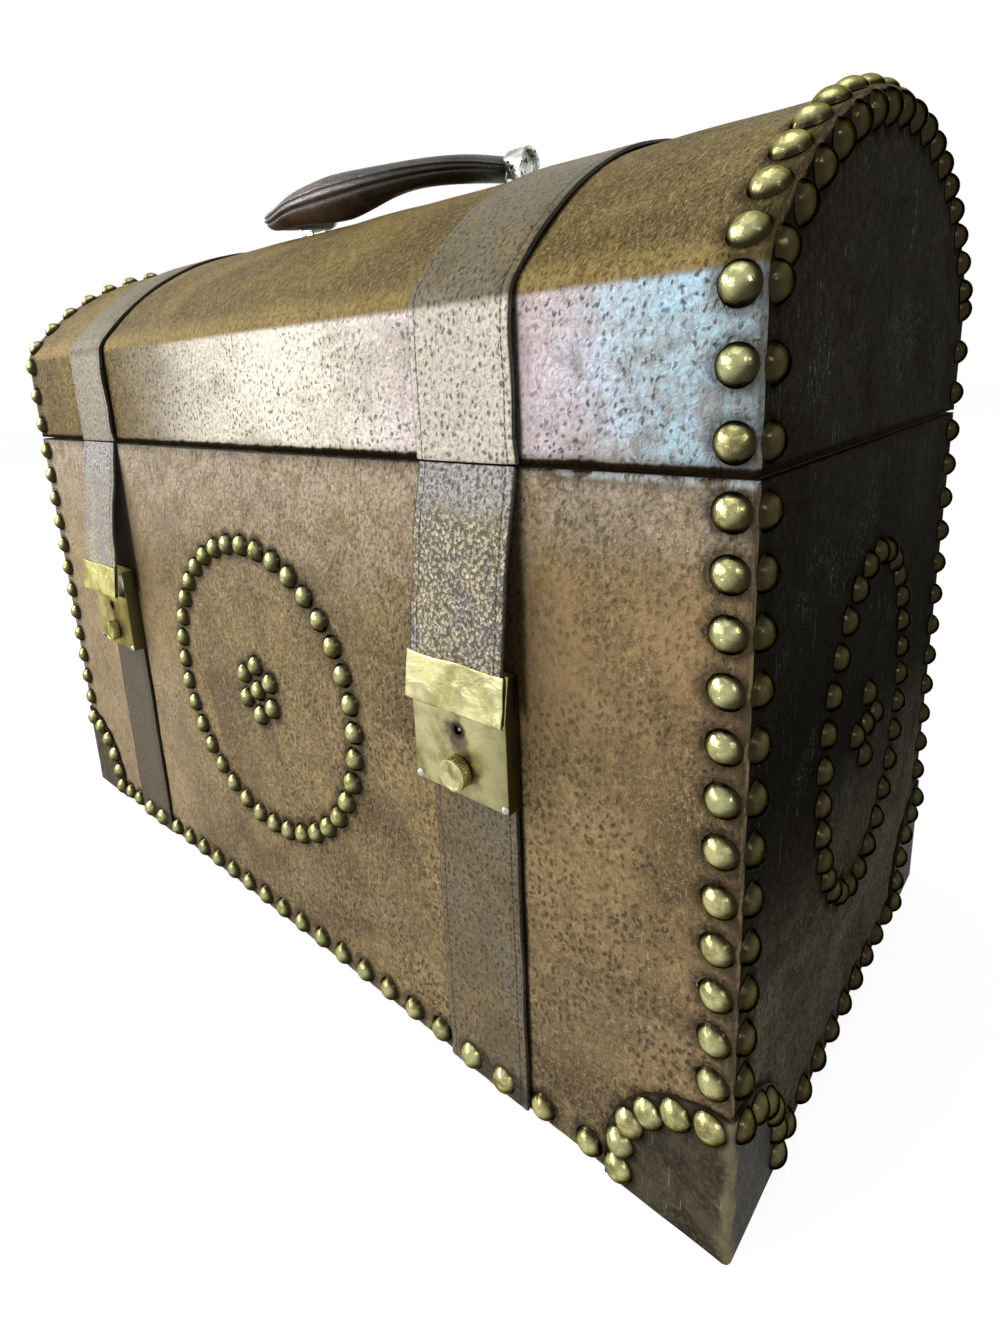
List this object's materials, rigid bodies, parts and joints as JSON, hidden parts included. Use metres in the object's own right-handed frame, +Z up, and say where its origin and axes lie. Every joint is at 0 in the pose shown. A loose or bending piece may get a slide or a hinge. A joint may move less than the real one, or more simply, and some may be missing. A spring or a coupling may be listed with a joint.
{
  "type": "studded trunk",
  "caption": "Small leather-covered trunk with a domed hinged lid, rows of domed studs, strapped front locks with sliding knobs, corner patches and a folding carrying handle.",
  "frame": {"origin": "middle of the underside, on the floor", "axes": "+X to the right along the trunk's length, +Y from the locked front to the hinged back, +Z up"},
  "size_m": [0.487, 0.2594, 0.3773],
  "materials": {
    "hide": "old brown hide, waxed and worn",
    "end_hide": "dark brown hide",
    "strap_hide": "brown strap leather",
    "patch_hide": "brown hide, rubbed at the corners",
    "grip_hide": "dark red-brown stitched leather",
    "board": "plain sawn softwood",
    "cloth": "plain woven cotton",
    "stud_brass": "worn domed brass",
    "lock_brass": "old pressed brass",
    "fitting": "worn nickel plate",
    "steel": "plain steel"
  },
  "bodies": {
    "base": {"base_front_board": "board", "base_back_board": "board", "base_left_board": "board", "base_right_board": "board", "base_bottom_board": "board", "base_front_leather": "hide", "base_back_leather": "hide", "base_left_leather": "end_hide", "base_right_leather": "end_hide", "base_bottom_leather": "end_hide", "base_lining": "cloth", "base_front_straps": "strap_hide", "base_back_straps": "strap_hide", "corner_patches": "patch_hide", "base_front_studs": "stud_brass", "base_back_studs": "stud_brass", "base_left_studs": "stud_brass", "base_right_studs": "stud_brass", "hinge_base_leaves": "fitting", "hinge_pins": "steel", "hinge_base_screws": "steel", "left_lock_case": "lock_brass", "right_lock_case": "lock_brass", "key_posts": "steel", "lock_pins": "lock_brass", "lock_springs": "steel"},
    "lid": {"lid_front_board": "board", "lid_back_board": "board", "lid_left_board": "board", "lid_right_board": "board", "dome_board": "board", "lid_leather": "hide", "lid_left_leather": "end_hide", "lid_right_leather": "end_hide", "lid_lining": "cloth", "left_lid_strap": "strap_hide", "right_lid_strap": "strap_hide", "lid_edge_studs": "stud_brass", "lid_left_studs": "stud_brass", "lid_right_studs": "stud_brass", "hinge_lid_leaves": "fitting", "hinge_lid_screws": "steel", "handle_plates": "fitting", "handle_loops": "fitting", "handle_rivets": "fitting"},
    "left_flap": {"left_strap_flap": "strap_hide", "left_hasp": "lock_brass", "left_hasp_tongue": "lock_brass"},
    "right_flap": {"right_strap_flap": "strap_hide", "right_hasp": "lock_brass", "right_hasp_tongue": "lock_brass"},
    "left_bolt": {"left_bolt_plate": "steel", "left_lock_knob": "lock_brass"},
    "right_bolt": {"right_bolt_plate": "steel", "right_lock_knob": "lock_brass"},
    "handle": {"handle_grip": "grip_hide", "handle_core": "steel", "handle_ends": "fitting"}
  },
  "joints": [
    {"name": "lid_hinge", "type": "hinge", "parent": "base", "child": "lid", "pos_m": [0, 0.1222, 0.25], "axis": [-1, 0, 0], "range_deg": [0, 100]},
    {"name": "left_flap_bend", "type": "hinge", "parent": "lid", "child": "left_flap", "pos_m": [-0.1437, -0.1198, 0.2494], "axis": [-1, 0, 0], "range_deg": [0, 90]},
    {"name": "right_flap_bend", "type": "hinge", "parent": "lid", "child": "right_flap", "pos_m": [0.1437, -0.1198, 0.2494], "axis": [-1, 0, 0], "range_deg": [0, 90]},
    {"name": "left_bolt_slide", "type": "slide", "parent": "base", "child": "left_bolt", "axis": [1, 0, 0], "range_m": [0, 0.0032], "stiffness_N_per_m": 300},
    {"name": "right_bolt_slide", "type": "slide", "parent": "base", "child": "right_bolt", "axis": [1, 0, 0], "range_m": [0, 0.0032], "stiffness_N_per_m": 300},
    {"name": "handle_pivot", "type": "hinge", "parent": "lid", "child": "handle", "pos_m": [0, 0, 0.3704], "axis": [-1, 0, 0], "range_deg": [0, 201.2]}
  ]
}
